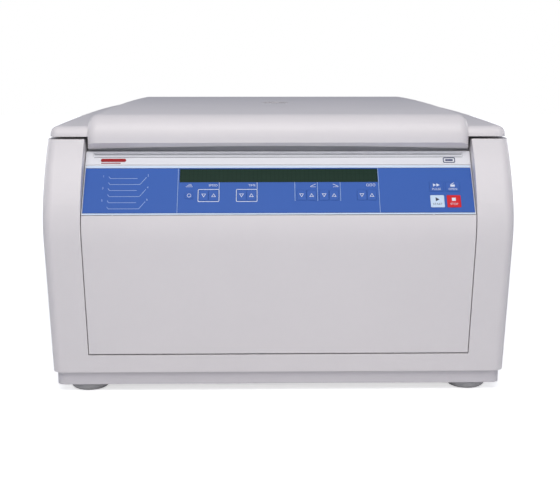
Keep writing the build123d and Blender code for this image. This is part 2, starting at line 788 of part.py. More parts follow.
ear_half = 7.5
ear_offset = arm_half + 0.5 + ear_half
bracket_front = 262.0
with BuildPart() as hinge_brackets:
    for side in (-1, 1):
        with Locations((side * hinge_x, (bracket_front + flange_rear) / 2, deck_top + 1.5)):
            Box(2 * (ear_offset + ear_half), flange_rear - bracket_front, 3)
        for ear in (-1, 1):
            with BuildSketch(Plane.YZ.offset(side * hinge_x + ear * ear_offset - ear_half)):
                with Locations((hinge_y, hinge_level)):
                    Circle(knuckle_radius)
                with BuildLine():
                    Polyline(
                        (bracket_front, deck_top),
                        (hinge_y, deck_top),
                        (hinge_y, hinge_level + 2),
                        (flange_rear - 6, deck_top + 5),
                        (bracket_front, deck_top + 3),
                        close=True,
                    )
                make_face()
                with Locations((hinge_y, hinge_level)):
                    Circle(pin_radius, mode=Mode.SUBTRACT)
            extrude(amount=2 * ear_half)
save(hinge_brackets.part, "hinge_brackets")

pin_outer = ear_offset + ear_half + 1.5
pin_inner = 62.0
with BuildPart() as hinge_pins:
    for side in (-1, 1):
        centre_x = side * (hinge_x + (pin_outer - pin_inner) / 2)
        with Locations(Location((centre_x, hinge_y, hinge_level), (0, 90, 0))):
            Cylinder(pin_radius, pin_outer + pin_inner)
save(hinge_pins.part, "hinge_pins")

coil_radius, wire_radius, coil_length = 4.6, 1.1, 22.0
with BuildPart() as hinge_springs:
    for side in (-1, 1):
        start = Plane(origin=(side * (hinge_x - pin_inner + 4), hinge_y, hinge_level), z_dir=(side, 0, 0))
        coil = Helix(pitch=3.2, height=coil_length, radius=coil_radius).moved(start.location)
        with BuildSketch(Plane(origin=coil @ 0, z_dir=coil % 0)):
            Circle(wire_radius)
        sweep(path=coil, is_frenet=True)
save(hinge_springs.part, "hinge_springs")

# --- lid lock -----------------------------------------------------------------------------------
lock_y, lock_level = -222.0, 268.0
lock_shaft_radius = 4.0
bar_y, bar_level, bar_radius = lock_y - 20.0, lock_level + 18.0, 3.0
lock_turn = 40.0  # degrees from released to locked
leg_x = 9.0
with BuildPart() as lid_strikers:
    for side in (-1, 1):
        with Locations(Location((side * lock_x, bar_y, bar_level), (0, 90, 0))):
            Cylinder(bar_radius, 2 * leg_x + 2 * bar_radius)
        for leg in (-1, 1):
            with Locations((side * lock_x + leg * leg_x, bar_y, (bar_level + plate_bottom) / 2)):
                Cylinder(bar_radius, plate_bottom - bar_level)
save(lid_strikers.part, "lid_strikers")

with BuildPart() as lock_hooks:
    for side in (-1, 1):
        released = Plane(
            origin=(side * lock_x - 3, lock_y, lock_level), x_dir=(0, 1, 0), z_dir=(1, 0, 0)
        ).rotated((-lock_turn, 0, 0))
        with BuildSketch(released):
            Circle(9)
            with BuildLine():
                Polyline(
                    (-8, 4), (-15, 14), (-15, 21.5), (-25, 21.5), (-26, 27.5), (-10, 28), (2, 20), (8, 4),
                    close=True,
                )
            make_face()
            Circle(lock_shaft_radius, mode=Mode.SUBTRACT)
        extrude(amount=6)
save(lock_hooks.part, "lock_hooks")

lock_shaft_half = lock_x + 20.0
with BuildPart() as lock_shaft:
    with Locations(Location((0, lock_y, lock_level), (0, 90, 0))):
        Cylinder(lock_shaft_radius, 2 * lock_shaft_half)
save(lock_shaft.part, "lock_shaft")

with BuildPart() as lock_brackets:
    for side in (-1, 1):
        for cheek in (-1, 1):
            with BuildSketch(Plane.YZ.offset(side * lock_x + cheek * 15 - 1.5)):
                with Locations((lock_y + 6, (deck_bottom + lock_level - 14) / 2)):
                    Rectangle(36, deck_bottom - lock_level + 14)
                with Locations((lock_y, lock_level)):
                    Circle(lock_shaft_radius + running_gap, mode=Mode.SUBTRACT)
            extrude(amount=3)
        with Locations((side * lock_x, lock_y + 22.5, (deck_bottom + lock_level - 14) / 2)):
            Box(33, 3, deck_bottom - lock_level + 14)
save(lock_brackets.part, "lock_brackets")

with BuildPart() as lock_actuator:
    with Locations((85, lock_y - 1, (deck_bottom + lock_level - 18) / 2)):
        Box(50, 28, deck_bottom - lock_level + 18)
    with Locations(Location((120, lock_y - 1, lock_level + 2), (0, 90, 0))):
        Cylinder(11, 20)
    with Locations(Location((90, lock_y, lock_level), (0, 90, 0))):
        Cylinder(lock_shaft_radius + running_gap, 100, mode=Mode.SUBTRACT)
save(lock_actuator.part, "lock_actuator")
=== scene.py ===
"""Looks of a bench-top laboratory centrifuge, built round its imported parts. Lengths in mm go through MM."""

import json
import math

import bpy
from mathutils import Matrix, Vector


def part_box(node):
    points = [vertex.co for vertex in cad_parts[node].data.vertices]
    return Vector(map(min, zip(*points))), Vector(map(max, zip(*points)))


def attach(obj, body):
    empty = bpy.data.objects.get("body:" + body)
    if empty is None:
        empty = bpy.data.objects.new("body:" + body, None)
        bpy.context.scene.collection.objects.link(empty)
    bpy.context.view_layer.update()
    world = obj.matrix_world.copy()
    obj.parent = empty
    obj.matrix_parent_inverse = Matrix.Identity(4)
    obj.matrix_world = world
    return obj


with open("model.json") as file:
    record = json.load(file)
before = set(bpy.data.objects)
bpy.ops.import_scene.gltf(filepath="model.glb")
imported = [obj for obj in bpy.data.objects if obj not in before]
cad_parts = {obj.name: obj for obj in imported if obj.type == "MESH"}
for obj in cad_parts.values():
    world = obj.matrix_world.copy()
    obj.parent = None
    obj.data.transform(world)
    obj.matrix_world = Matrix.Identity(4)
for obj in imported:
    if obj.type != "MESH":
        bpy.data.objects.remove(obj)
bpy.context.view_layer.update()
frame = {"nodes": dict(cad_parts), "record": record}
nodes = frame["nodes"]

MM = 0.001
VECTOR = "NodeSocketVector"
FLOAT = "NodeSocketFloat"
COLOR = "NodeSocketColor"


# --- node tree short hands ----------------------------------------------------------------------
def put(tree, kind, inputs=None, **settings):
    """Adds a node, sets its own settings, then links or sets its inputs."""
    node = tree.nodes.new(kind)
    for name, value in settings.items():
        setattr(node, name, value)
    for name, value in (inputs or {}).items():
        if isinstance(value, bpy.types.NodeSocket):
            tree.links.new(value, node.inputs[name])
        else:
            node.inputs[name].default_value = value
    return node


def new_group(name, inputs, outputs, kind="ShaderNodeTree"):
    """Starts a node group with named sockets and returns it with its input and output nodes."""
    group = bpy.data.node_groups.new(name, kind)
    for label, socket_type, value in inputs:
        socket = group.interface.new_socket(label, in_out="INPUT", socket_type=socket_type)
        if value is not None:
            socket.default_value = value
    for label, socket_type in outputs:
        group.interface.new_socket(label, in_out="OUTPUT", socket_type=socket_type)
    return group, group.nodes.new("NodeGroupInput").outputs, group.nodes.new("NodeGroupOutput").inputs


def mix_colours(tree, factor, first, second):
    """Blends two colours; 6 and 7 are a Mix node's colour inputs and 2 its colour output."""
    return put(tree, "ShaderNodeMix", {"Factor": factor, 6: first, 7: second}, data_type="RGBA").outputs[2]


def math_node(tree, operation, first, second, clamp=False):
    return put(tree, "ShaderNodeMath", {0: first, 1: second}, operation=operation, use_clamp=clamp).outputs[0]


def noise(tree, position, scale, detail=3.0, roughness=0.55):
    return put(
        tree,
        "ShaderNodeTexNoise",
        {"Vector": position, "Scale": scale, "Detail": detail, "Roughness": roughness},
    ).outputs["Fac"]


# --- shared surface effects ---------------------------------------------------------------------
def make_handled_surface():
    """Colour and roughness that drift over a surface and lighten along its edges."""
    group, given, result = new_group(
        "handled surface",
        [
            ("Position", VECTOR, None),
            ("Colour", COLOR, (0.8, 0.8, 0.8, 1)),
            ("Edge Colour", COLOR, (0.9, 0.9, 0.9, 1)),
            ("Tone Drift", FLOAT, 0.04),
            ("Roughness", FLOAT, 0.45),
            ("Roughness Drift", FLOAT, 0.08),
            ("Patches per Metre", FLOAT, 9.0),
            ("Edge Radius", FLOAT, 0.0008),
            ("Edge Wear", FLOAT, 0.3),
        ],
        [("Colour", COLOR), ("Roughness", FLOAT), ("Rounded Normal", VECTOR)],
    )
    broad = noise(group, given["Position"], given["Patches per Metre"])
    fine = noise(group, given["Position"], math_node(group, "MULTIPLY", given["Patches per Metre"], 14.0), 4.0)
    broad_part = math_node(group, "MULTIPLY", broad, 0.7)
    both = math_node(group, "ADD", broad_part, math_node(group, "MULTIPLY", fine, 0.3))
    swing = math_node(group, "MULTIPLY", math_node(group, "SUBTRACT", both, 0.5), 2.0)
    lift = math_node(group, "ADD", math_node(group, "MULTIPLY", swing, given["Tone Drift"]), 1.0)
    scaled = put(group, "ShaderNodeVectorMath", {0: given["Colour"], "Scale": lift}, operation="SCALE")

    rounded = put(group, "ShaderNodeBevel", {"Radius": given["Edge Radius"]}, samples=4).outputs[0]
    flat = put(group, "ShaderNodeNewGeometry").outputs["Normal"]
    facing = put(group, "ShaderNodeVectorMath", {0: rounded, 1: flat}, operation="DOT_PRODUCT").outputs["Value"]
    edge = math_node(group, "MULTIPLY", math_node(group, "SUBTRACT", 1.0, facing), 6.0, clamp=True)
    patchy = math_node(group, "MULTIPLY", edge, math_node(group, "MULTIPLY", fine, 1.6, clamp=True))
    mask = math_node(group, "MULTIPLY", patchy, given["Edge Wear"], clamp=True)
    group.links.new(mix_colours(group, mask, scaled.outputs[0], given["Edge Colour"]), result["Colour"])
    rough_swing = math_node(group, "MULTIPLY", swing, given["Roughness Drift"])
    group.links.new(math_node(group, "ADD", given["Roughness"], rough_swing), result["Roughness"])
    group.links.new(rounded, result["Rounded Normal"])
    return group


def make_moulded_grain():
    """Height of a moulded or sprayed surface: fine cells with a soft swell under them."""
    group, given, result = new_group(
        "moulded grain",
        [
            ("Position", VECTOR, None),
            ("Cell Size", FLOAT, 0.0008),
            ("Swell Size", FLOAT, 0.02),
            ("Swell", FLOAT, 0.3),
        ],
        [("Height", FLOAT)],
    )
    cells = put(
        group,
        "ShaderNodeTexVoronoi",
        {"Vector": given["Position"], "Scale": math_node(group, "DIVIDE", 1.0, given["Cell Size"])},
        feature="SMOOTH_F1",
    ).outputs["Distance"]
    swell = noise(group, given["Position"], math_node(group, "DIVIDE", 1.0, given["Swell Size"]), 1.0)
    height = math_node(group, "ADD", cells, math_node(group, "MULTIPLY", swell, given["Swell"]))
    group.links.new(height, result["Height"])
    return group


def make_brushed_lines():
    """Fine lines left by brushing or turning: straight along X, or round an upright axis."""
    group, given, result = new_group(
        "brushed lines",
        [
            ("Position", VECTOR, None),
            ("Turned", FLOAT, 0.0),
            ("Line Width", FLOAT, 0.0004),
            ("Line Length", FLOAT, 0.03),
        ],
        [("Height", FLOAT)],
    )
    apart = put(group, "ShaderNodeSeparateXYZ", {0: given["Position"]}).outputs
    reach = put(group, "ShaderNodeVectorMath", {0: given["Position"], 1: (1, 1, 0)}, operation="MULTIPLY")
    radius = put(group, "ShaderNodeVectorMath", {0: reach.outputs[0]}, operation="LENGTH").outputs["Value"]
    angle = math_node(group, "ARCTAN2", apart["Y"], apart["X"])
    along = math_node(group, "DIVIDE", 1.0, given["Line Length"])
    across = math_node(group, "DIVIDE", 1.0, given["Line Width"])
    straight = put(
        group,
        "ShaderNodeCombineXYZ",
        {
            0: math_node(group, "MULTIPLY", apart["X"], along),
            1: math_node(group, "MULTIPLY", apart["Y"], across),
            2: math_node(group, "MULTIPLY", apart["Z"], across),
        },
    ).outputs[0]
    turned = put(
        group,
        "ShaderNodeCombineXYZ",
        {
            0: math_node(group, "MULTIPLY", angle, 3.0),
            1: math_node(group, "MULTIPLY", radius, across),
            2: math_node(group, "MULTIPLY", apart["Z"], across),
        },
    ).outputs[0]
    # 4 and 5 are a Mix node's vector inputs and 1 its vector output
    place = put(group, "ShaderNodeMix", {"Factor": given["Turned"], 4: straight, 5: turned}, data_type="VECTOR")
    group.links.new(noise(group, place.outputs[1], 1.0, 2.0, 0.6), result["Height"])
    return group


handled_surface = make_handled_surface()
moulded_grain = make_moulded_grain()
brushed_lines = make_brushed_lines()


def rgba(colour):
    return (*colour, 1.0)


def start_material(name, colour, **plain):
    """A new material with its Principled shader's plain constants, and its object position."""
    material = bpy.data.materials.new(name)
    material.use_nodes = True
    material.diffuse_color = rgba(colour)
    tree = material.node_tree
    shader = tree.nodes["Principled BSDF"]
    for label, value in plain.items():
        shader.inputs[label.replace("_", " ")].default_value = value
    position = put(tree, "ShaderNodeTexCoord").outputs["Object"]
    return material, tree, shader, position


def handle(tree, shader, position, colour, edge_colour, tone, rough, rough_drift, patches, radius, wear):
    """Places the handled surface effect in a material and links it to the shader."""
    effect = put(tree, "ShaderNodeGroup", node_tree=handled_surface)
    values = {
        "Colour": rgba(colour),
        "Edge Colour": rgba(edge_colour),
        "Tone Drift": tone,
        "Roughness": rough,
        "Roughness Drift": rough_drift,
        "Patches per Metre": patches,
        "Edge Radius": radius,
        "Edge Wear": wear,
    }
    for label, value in values.items():
        effect.inputs[label].default_value = value
    tree.links.new(position, effect.inputs["Position"])
    tree.links.new(effect.outputs["Colour"], shader.inputs["Base Color"])
    tree.links.new(effect.outputs["Roughness"], shader.inputs["Roughness"])
    return effect


def grained(name, colour, rough, cell, depth, tone=0.03, wear=0.25, **plain):
    """Moulded plastic, powder coat, rubber or enamel. cell and depth are in mm."""
    material, tree, shader, position = start_material(name, colour, **plain)
    edge_colour = [min(1.0, c * 1.12 + 0.01) for c in colour]
    effect = handle(
        tree, shader, position, colour, edge_colour,
        tone=tone, rough=rough, rough_drift=0.06, patches=8.0, radius=0.8 * MM, wear=wear,
    )
    grain = put(tree, "ShaderNodeGroup", node_tree=moulded_grain)
    grain.inputs["Cell Size"].default_value = cell * MM
    tree.links.new(position, grain.inputs["Position"])
    bump = put(
        tree,
        "ShaderNodeBump",
        {"Height": grain.outputs["Height"], "Distance": depth * MM, "Normal": effect.outputs["Rounded Normal"]},
    )
    tree.links.new(bump.outputs[0], shader.inputs["Normal"])
    return material


def brushed(name, colour, rough, turned=0.0, centre=(0, 0, 0), line=0.35, length=40.0, depth=0.01):
    """Bare metal with brushed or turned lines; centre is the turning axis. Lengths in mm."""
    material, tree, shader, position = start_material(name, colour, Metallic=1.0)
    edge_colour = [min(1.0, c * 1.3) for c in colour]
    effect = handle(
        tree, shader, position, colour, edge_colour,
        tone=0.08, rough=rough, rough_drift=0.1, patches=12.0, radius=0.5 * MM, wear=0.4,
    )
    moved = put(
        tree, "ShaderNodeMapping", {"Vector": position, "Location": [-c * MM for c in centre]}
    ).outputs[0]
    lines = put(tree, "ShaderNodeGroup", node_tree=brushed_lines)
    for label, value in (("Turned", turned), ("Line Width", line * MM), ("Line Length", length * MM)):
        lines.inputs[label].default_value = value
    tree.links.new(moved, lines.inputs["Position"])
    bump = put(
        tree,
        "ShaderNodeBump",
        {"Height": lines.outputs["Height"], "Distance": depth * MM, "Normal": effect.outputs["Rounded Normal"]},
    )
    tree.links.new(bump.outputs[0], shader.inputs["Normal"])
    return material


# --- finishes -----------------------------------------------------------------------------------
warm_white = (0.80, 0.772, 0.775)
axle = (0.0, 10.0, 0.0)  # the drive axis, mm
film = {"cell": 0.35, "depth": 0.006}
matt_film = {**film, "Specular_IOR_Level": 0.25}
print_ink = {"cell": 0.3, "depth": 0.004, "wear": 0.05}
finishes = {
    "shell_plastic": grained("moulded warm white", warm_white, rough=0.40, cell=0.55, depth=0.018, wear=0.12),
    "bezel_plastic": grained(
        "moulded cool white", (0.79, 0.80, 0.83), rough=0.36, cell=0.5, depth=0.012, wear=0.1
    ),
    "keypad_film": grained("blue printed film", (0.040, 0.128, 0.47), rough=0.5, wear=0.05, **matt_film),
    "key_film": grained("blue key film", (0.043, 0.133, 0.48), rough=0.48, wear=0.3, **matt_film),
    "start_film": grained("pale blue key film", (0.60, 0.76, 0.92), rough=0.30, wear=0.1, **film),
    "stop_film": grained("red key film", (0.72, 0.012, 0.02), rough=0.48, wear=0.1, **matt_film),
    "circuit_board": grained(
        "green circuit board", (0.03, 0.16, 0.07), rough=0.35, cell=1.6, depth=0.05, wear=0.5
    ),
    "cabinet_paint": grained(
        "white powder coat", (0.77, 0.755, 0.765), rough=0.46, cell=0.8, depth=0.03, wear=0.3
    ),
    "base_paint": grained("grey powder coat", (0.66, 0.64, 0.66), rough=0.5, cell=0.9, depth=0.035, wear=0.3),
    "black_rubber": grained("black rubber", (0.02, 0.02, 0.022), rough=0.6, cell=0.5, depth=0.02, tone=0.25),
    "foot_rubber": grained("grey rubber", (0.37, 0.37, 0.375), rough=0.62, cell=0.7, depth=0.03, tone=0.15),
    "motor_iron": grained(
        "dark enamel", (0.06, 0.065, 0.07), rough=0.42, cell=1.4, depth=0.08, tone=0.2, wear=0.5
    ),
    "knob_plastic": grained("black moulded", (0.022, 0.022, 0.026), rough=0.38, cell=0.5, depth=0.02, tone=0.2),
    "black_plastic": grained("black socket", (0.02, 0.02, 0.022), rough=0.44, cell=0.5, depth=0.02, tone=0.2),
    "plug_plastic": grained("grey cap", (0.70, 0.68, 0.69), rough=0.42, cell=0.5, depth=0.015),
    "stainless": brushed("drawn stainless", (0.60, 0.60, 0.59), rough=0.27, turned=1.0, centre=axle),
    "guard_steel": brushed("rolled plate", (0.30, 0.30, 0.31), rough=0.42, line=0.9, depth=0.02),
    "ground_steel": brushed("ground steel", (0.62, 0.62, 0.63), rough=0.18, turned=1.0, centre=axle, line=0.15),
    "rotor_aluminium": brushed("turned aluminium", (0.42, 0.43, 0.45), rough=0.34, turned=1.0, centre=axle),
    "bucket_aluminium": brushed("anodised bucket", (0.56, 0.57, 0.60), rough=0.30, line=0.3, length=4.0),
    "power_supply": brushed("dark heat sink", (0.16, 0.16, 0.17), rough=0.4, line=0.5),
}
lid_inner_finish = brushed("brushed lid plate", (0.60, 0.60, 0.59), rough=0.3, line=0.4, length=60.0)
white_ink = grained("white ink", (0.80, 0.86, 0.95), rough=0.4, **print_ink)
# pale blue for the printed band above the blue film, and for the lower strip, which is partly a painted
# highlight
pale_ink_and_highlight = grained("pale blue ink and painted highlight", (0.66, 0.80, 0.96), rough=0.35, **print_ink)
soft_ink = grained("soft blue ink", (0.42, 0.58, 0.86), rough=0.5, **print_ink)
dark_ink = grained("dark ink", (0.02, 0.03, 0.07), rough=0.4, **print_ink)
badge_red = grained(
    "red badge enamel", (0.36, 0.012, 0.016), rough=0.5, cell=0.4, depth=0.004, wear=0.1,
    Specular_IOR_Level=0.2,
)
# painted shade: flat grey for the strips in the bezel's finger cove, standing in for the shade under the lid's
# lip
cove_shade_grey = grained("grey painted cove shade", (0.36, 0.37, 0.39), rough=0.4, cell=0.4, depth=0.004, wear=0.1)
badge_blue = grained("slate badge enamel", (0.06, 0.08, 0.17), rough=0.25, cell=0.4, depth=0.004, wear=0.2)


def make_display_glass():
    """Dark green display lens with the faint grid of its unlit cells."""
    material, tree, shader, position = start_material(
        "display lens", (0.02, 0.05, 0.035), IOR=1.33, Specular_IOR_Level=0.15
    )
    lean = math.radians(90.0 - slant)
    turned = put(tree, "ShaderNodeMapping", {"Vector": position, "Rotation": (-lean, 0, 0)})
    cells = put(
        tree,
        "ShaderNodeTexBrick",
        {
            "Vector": turned.outputs[0],
            "Scale": 1.0,
            "Color1": (1, 1, 1, 1),
            "Color2": (0.86, 0.86, 0.86, 1),
            "Mortar": (0.0, 0.0, 0.0, 1),
            "Brick Width": 5.2 * MM,
            "Row Height": 8.4 * MM,
            "Mortar Size": 0.35 * MM,
        },
        offset=0.0,
    )
    drift = noise(tree, position, 18.0)
    lit = math_node(tree, "MULTIPLY", cells.outputs["Color"], 0.55)
    tint = mix_colours(tree, lit, (0.009, 0.028, 0.018, 1), (0.014, 0.042, 0.027, 1))
    tree.links.new(tint, shader.inputs["Base Color"])
    rough = math_node(tree, "ADD", math_node(tree, "MULTIPLY", drift, 0.10), 0.12)
    tree.links.new(rough, shader.inputs["Roughness"])
    bump = put(tree, "ShaderNodeBump", {"Height": drift, "Distance": 0.05 * MM})
    tree.links.new(bump.outputs[0], shader.inputs["Normal"])
    return material


def make_clear_window():
    """Clear viewing window with a little haze and fine wipe marks."""
    material, tree, shader, position = start_material(
        "clear window", (0.86, 0.90, 0.92), IOR=1.58, Transmission_Weight=1.0
    )
    haze = noise(tree, position, 60.0, 5.0)
    tint = mix_colours(tree, haze, (0.80, 0.86, 0.89, 1), (0.90, 0.93, 0.94, 1))
    tree.links.new(tint, shader.inputs["Base Color"])
    rough = math_node(tree, "ADD", math_node(tree, "MULTIPLY", haze, 0.12), 0.04)
    tree.links.new(rough, shader.inputs["Roughness"])
    wipes = put(tree, "ShaderNodeMapping", {"Vector": position, "Scale": (40.0, 900.0, 900.0)}).outputs[0]
    bump = put(tree, "ShaderNodeBump", {"Height": noise(tree, wipes, 1.0), "Distance": 0.004 * MM})
    tree.links.new(bump.outputs[0], shader.inputs["Normal"])
    return material


# --- control panel frame ------------------------------------------------------------------------
slant = 37.0  # degrees off vertical
panel_origin = Vector((0, -331.0 * MM, 232.0 * MM))
panel_up = Vector((0, math.sin(math.radians(slant)), math.cos(math.radians(slant))))
panel_out = Vector((0, -math.cos(math.radians(slant)), math.sin(math.radians(slant))))
panel_frame = Matrix(
    (
        (1, panel_up.x, panel_out.x, panel_origin.x),
        (0, panel_up.y, panel_out.y, panel_origin.y),
        (0, panel_up.z, panel_out.z, panel_origin.z),
        (0, 0, 0, 1),
    )
)
finishes["display_lens"] = make_display_glass()
finishes["viewing_glass"] = make_clear_window()

for row in frame["record"]["subparts"]:
    node = nodes[row["node"]]
    finish = lid_inner_finish if row["node"] == "lid_inner_plate" else finishes[row["material_slot"]]
    if not node.data.materials:
        node.data.materials.append(finish)
    for place in node.material_slots:
        place.material = finish


# --- piece helpers ------------------------------------------------------------------------------
def add_piece(name, body, finish, mesh):
    """Puts a finished mesh into the scene as one piece on a body."""
    mesh.name = name
    mesh.materials.clear()
    mesh.materials.append(finish)
    piece = bpy.data.objects.new(name, mesh)
    bpy.context.collection.objects.link(piece)
    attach(piece, body)
    return piece


class Prints:
    """Thin raised shapes on the control panel, gathered into one mesh. Sizes in mm on the panel."""

    def __init__(self, low=-0.02, high=0.05):
        self.low, self.high = low, high
        self.points, self.faces = [], []

    def _rings(self, outline):
        start = len(self.points)
        for level in (self.low, self.high):
            self.points += [(x, up, level) for x, up in outline]
        return start, len(outline)

    def filled(self, outline):
        """A closed shape; its corners run anticlockwise."""
        start, count = self._rings(outline)
        self.faces.append(tuple(start + i for i in reversed(range(count))))
        self.faces.append(tuple(start + count + i for i in range(count)))
        for i in range(count):
            j = (i + 1) % count
            self.faces.append((start + i, start + j, start + count + j, start + count + i))

    def outlined(self, outer, inner):
        """A frame between two shapes with the same number of corners."""
        a, count = self._rings(outer)
        b, _ = self._rings(inner)
        for i in range(count):
            j = (i + 1) % count
            self.faces.append((a + count + i, a + count + j, b + count + j, b + count + i))
            self.faces.append((a + j, a + i, b + i, b + j))
            self.faces.append((a + i, a + j, a + count + j, a + count + i))
            self.faces.append((b + j, b + i, b + count + i, b + count + j))

    def line(self, start, end, width):
        along = (Vector(end) - Vector(start)).normalized() * (width / 2)
        side = Vector((-along.y, along.x))
        a, b = Vector(start) - along, Vector(end) + along
        self.filled([tuple(a - side), tuple(b - side), tuple(b + side), tuple(a + side)])

    def box(self, x, up, width, height):
        self.filled(rectangle(x, up, width, height))

    def word(self, text, x, up, size, align="CENTER"):
        """Flat lettering, kept to plain numbers and plain words of use."""
        curve = bpy.data.curves.new(text, "FONT")
        curve.body, curve.size, curve.align_x, curve.align_y = text, size, align, "CENTER"
        curve.resolution_u = 3
        curve.extrude = (self.high - self.low) / 2
        letters = bpy.data.objects.new(text, curve)
        flat = bpy.data.meshes.new_from_object(letters)
        start = len(self.points)
        middle = (self.high + self.low) / 2
        self.points += [(v.co.x + x, v.co.y + up, v.co.z + middle) for v in flat.vertices]
        self.faces += [tuple(start + i for i in face.vertices) for face in flat.polygons]
        bpy.data.objects.remove(letters)
        bpy.data.meshes.remove(flat)
        bpy.data.curves.remove(curve)

    def place(self, name, body, slot, finish):
        mesh = bpy.data.meshes.new(name)
        placed = [panel_frame @ (Vector(point) * MM) for point in self.points]
        mesh.from_pydata([tuple(point) for point in placed], [], self.faces)
        return add_piece(name, body, finish, mesh)


def rectangle(x, up, width, height):
    half_width, half_height = width / 2, height / 2
    return [
        (x - half_width, up - half_height),
        (x + half_width, up - half_height),
        (x + half_width, up + half_height),
        (x - half_width, up + half_height),
    ]


def rounded(x, up, width, height, radius, steps=4):
    """A rectangle with rounded corners, anticlockwise."""
    outline = []
    for corner, (side, top) in enumerate(((1, 1), (-1, 1), (-1, -1), (1, -1))):
        for step in range(steps + 1):
            turn = math.radians(90.0 * corner + 90.0 * step / steps)
            outline.append(
                (
                    x + side * (width / 2 - radius) + radius * math.cos(turn),
                    up + top * (height / 2 - radius) + radius * math.sin(turn),
                )
            )
    return outline


def circle(x, up, radius, count=20):
    turns = [2 * math.pi * i / count for i in range(count)]
    return [(x + radius * math.cos(t), up + radius * math.sin(t)) for t in turns]


def triangle(x, up, size, turn):
    """A three-cornered arrow head; turn is where its point looks, in degrees from +X."""
    return [
        (
            x + size * math.cos(math.radians(turn + corner)),
            up + size * math.sin(math.radians(turn + corner)),
        )
        for corner in (0, 120, 240)
    ]


# --- printing on the overlay --------------------------------------------------------------------
display_low = 44.0
overlay_low, overlay_high = 1.5, 64.0
key_row = 25.6
frame_low, frame_high = 16.7, 34.3
fine = 0.55

ink, faint = Prints(), Prints()
faint.line((-122.8, overlay_low + 0.4), (-122.8, overlay_high - 0.6), fine)
faint.line((121.6, overlay_low + 0.4), (121.6, overlay_high - 0.6), fine)
for divider in (19.3, 46.7, 74.6):
    faint.line((divider, 18.0), (divider, display_low - 0.3), fine)
for left, right in ((-98.4, -72.3), (-52.1, -26.2)):
    middle, span = (left + right) / 2, right - left
    ink.outlined(
        rounded(middle, key_row, span, frame_high - frame_low, 1.6),
        rounded(middle, key_row, span - 1.6, frame_high - frame_low - 1.6, 0.9),
    )
    ink.line((right - 0.4, frame_high), (right - 0.4, display_low - 0.3), fine)
ink.word("SPEED", -74.4, 39.6, 4.1, "RIGHT")
ink.word("TIME", -28.4, 39.6, 4.1, "RIGHT")
for rising, right in ((1, 44.5), (-1, 72.0)):  # run-up and run-down signs
    slope_start = (right - 6.0, 38.2 if rising > 0 else 41.2)
    slope_end = (right, 41.2 if rising > 0 else 38.2)
    ink.line(slope_start, slope_end, 0.6)
    ink.line((right - 6.0, 37.4), (right, 37.4), 0.45)
for offset in (0.0, 3.9, 7.8):  # bucket sign: three little cups
    cup = 108.0 + offset
    ink.outlined(rounded(cup, 39.8, 3.0, 3.6, 0.8, 2), rounded(cup, 39.8, 2.1, 2.7, 0.4, 2))
ink.line((-113.0, 37.8), (-105.0, 37.8), 0.5)
ink.line((-111.5, 39.6), (-105.8, 39.6), 0.5)
ink.line((-109.8, 41.2), (-106.6, 41.2), 0.5)

program_left, program_top, program_step = -205.3, 49.6, 8.42
for number in range(6):
    level = program_top - program_step * number
    right = -172.6 if number % 2 == 0 else -168.8
    faint.line((program_left, level), (right, level), fine)
    faint.line((program_left, level), (program_left - 1.8, level + 2.6), fine)
    if number % 2:
        faint.line((right, level), (-161.6, level + 9.8), fine)
    side = -213.6 if number % 2 == 0 else -159.4
    faint.word(str(number + 1), side, level + (3.0 if number % 2 == 0 else 12.6), 4.0)
ink.place("overlay_marks", "cabinet", "keypad_film", white_ink)
faint.place("overlay_lines", "cabinet", "keypad_film", soft_ink)

# The upper strip is a pale printed band. The lower strip is partly a pale band and partly a painted highlight
# on the lower panel's rounded top edge.
for name, level, breadth in (("upper_light_strip", 65.9, 3.0), ("lower_band_and_highlight", 0.15, 2.0)):
    strip = Prints(-0.05, 0.06)
    strip.box(0, level, 471.0, breadth)
    strip.place(name, "cabinet", "bezel_plastic", pale_ink_and_highlight)

# painted shadow: two grey strips laid in the bezel's finger cove, where the lid's lip shades it
painted_cove_shade = Prints(-1.3, -1.12)
painted_cove_shade.box(0, 80.3, 454.0, 0.8)
painted_cove_shade.box(0, 84.3, 454.0, 1.3)
painted_cove_shade.place("painted_cove_shade", "cabinet", "bezel_plastic", cove_shade_grey)

# --- flexible film round the keys, closing their gaps -------------------------------------------
mode_x, start_x, stop_x, lower_key, upper_key = -108.9, 191.8, 211.8, 16.8, 37.0
arrow_keys = {
    "speed": (-91.3, -79.3),
    "time": (-45.5, -33.5),
    "acceleration": (27.3, 39.5),
    "braking": (54.6, 66.8),
    "bucket": (100.5, 112.7),
}
key_places = [(mode_x, key_row, 9.0, 9.0)]
key_places += [(across, key_row, 11.0, 13.5) for pair in arrow_keys.values() for across in pair]
key_places += [(across, upper_key, 16.5, 13.0) for across in (start_x, stop_x)]
key_places += [(across, lower_key, 16.8, 16.8) for across in (start_x, stop_x)]
skirts = Prints(-0.3, 0.02)
for across, up, wide, tall in key_places:
    skirts.outlined(
        rounded(across, up, wide + 0.8, tall + 0.8, 1.6), rounded(across, up, wide + 0.1, tall + 0.1, 1.25)
    )
skirts.place("key_skirts", "cabinet", "keypad_film", finishes["keypad_film"])

# --- printing on the keys -----------------------------------------------------------------------
key_face = 0.3  # the keys stand this proud of the overlay
key_print = {"low": key_face - 0.02, "high": key_face + 0.05}
arrow_size, arrow_line = 3.3, 1.25
for use, places in arrow_keys.items():
    for direction, across, turn in (("down", places[0], -90), ("up", places[1], 90)):
        arrow = Prints(**key_print)
        centre = key_row + (0.6 if direction == "down" else -0.6)
        inner = triangle(across, centre, arrow_size - arrow_line, turn)
        arrow.outlined(triangle(across, centre, arrow_size, turn), inner)
        key = f"{use}_{direction}_key"
        arrow.place(f"{use}_{direction}_arrow", key, "key_film", white_ink)

mode_mark = Prints(**key_print)
mode_mark.outlined(circle(mode_x, key_row, 2.5), circle(mode_x, key_row, 1.95))
mode_mark.place("mode_ring", "mode_key", "key_film", white_ink)

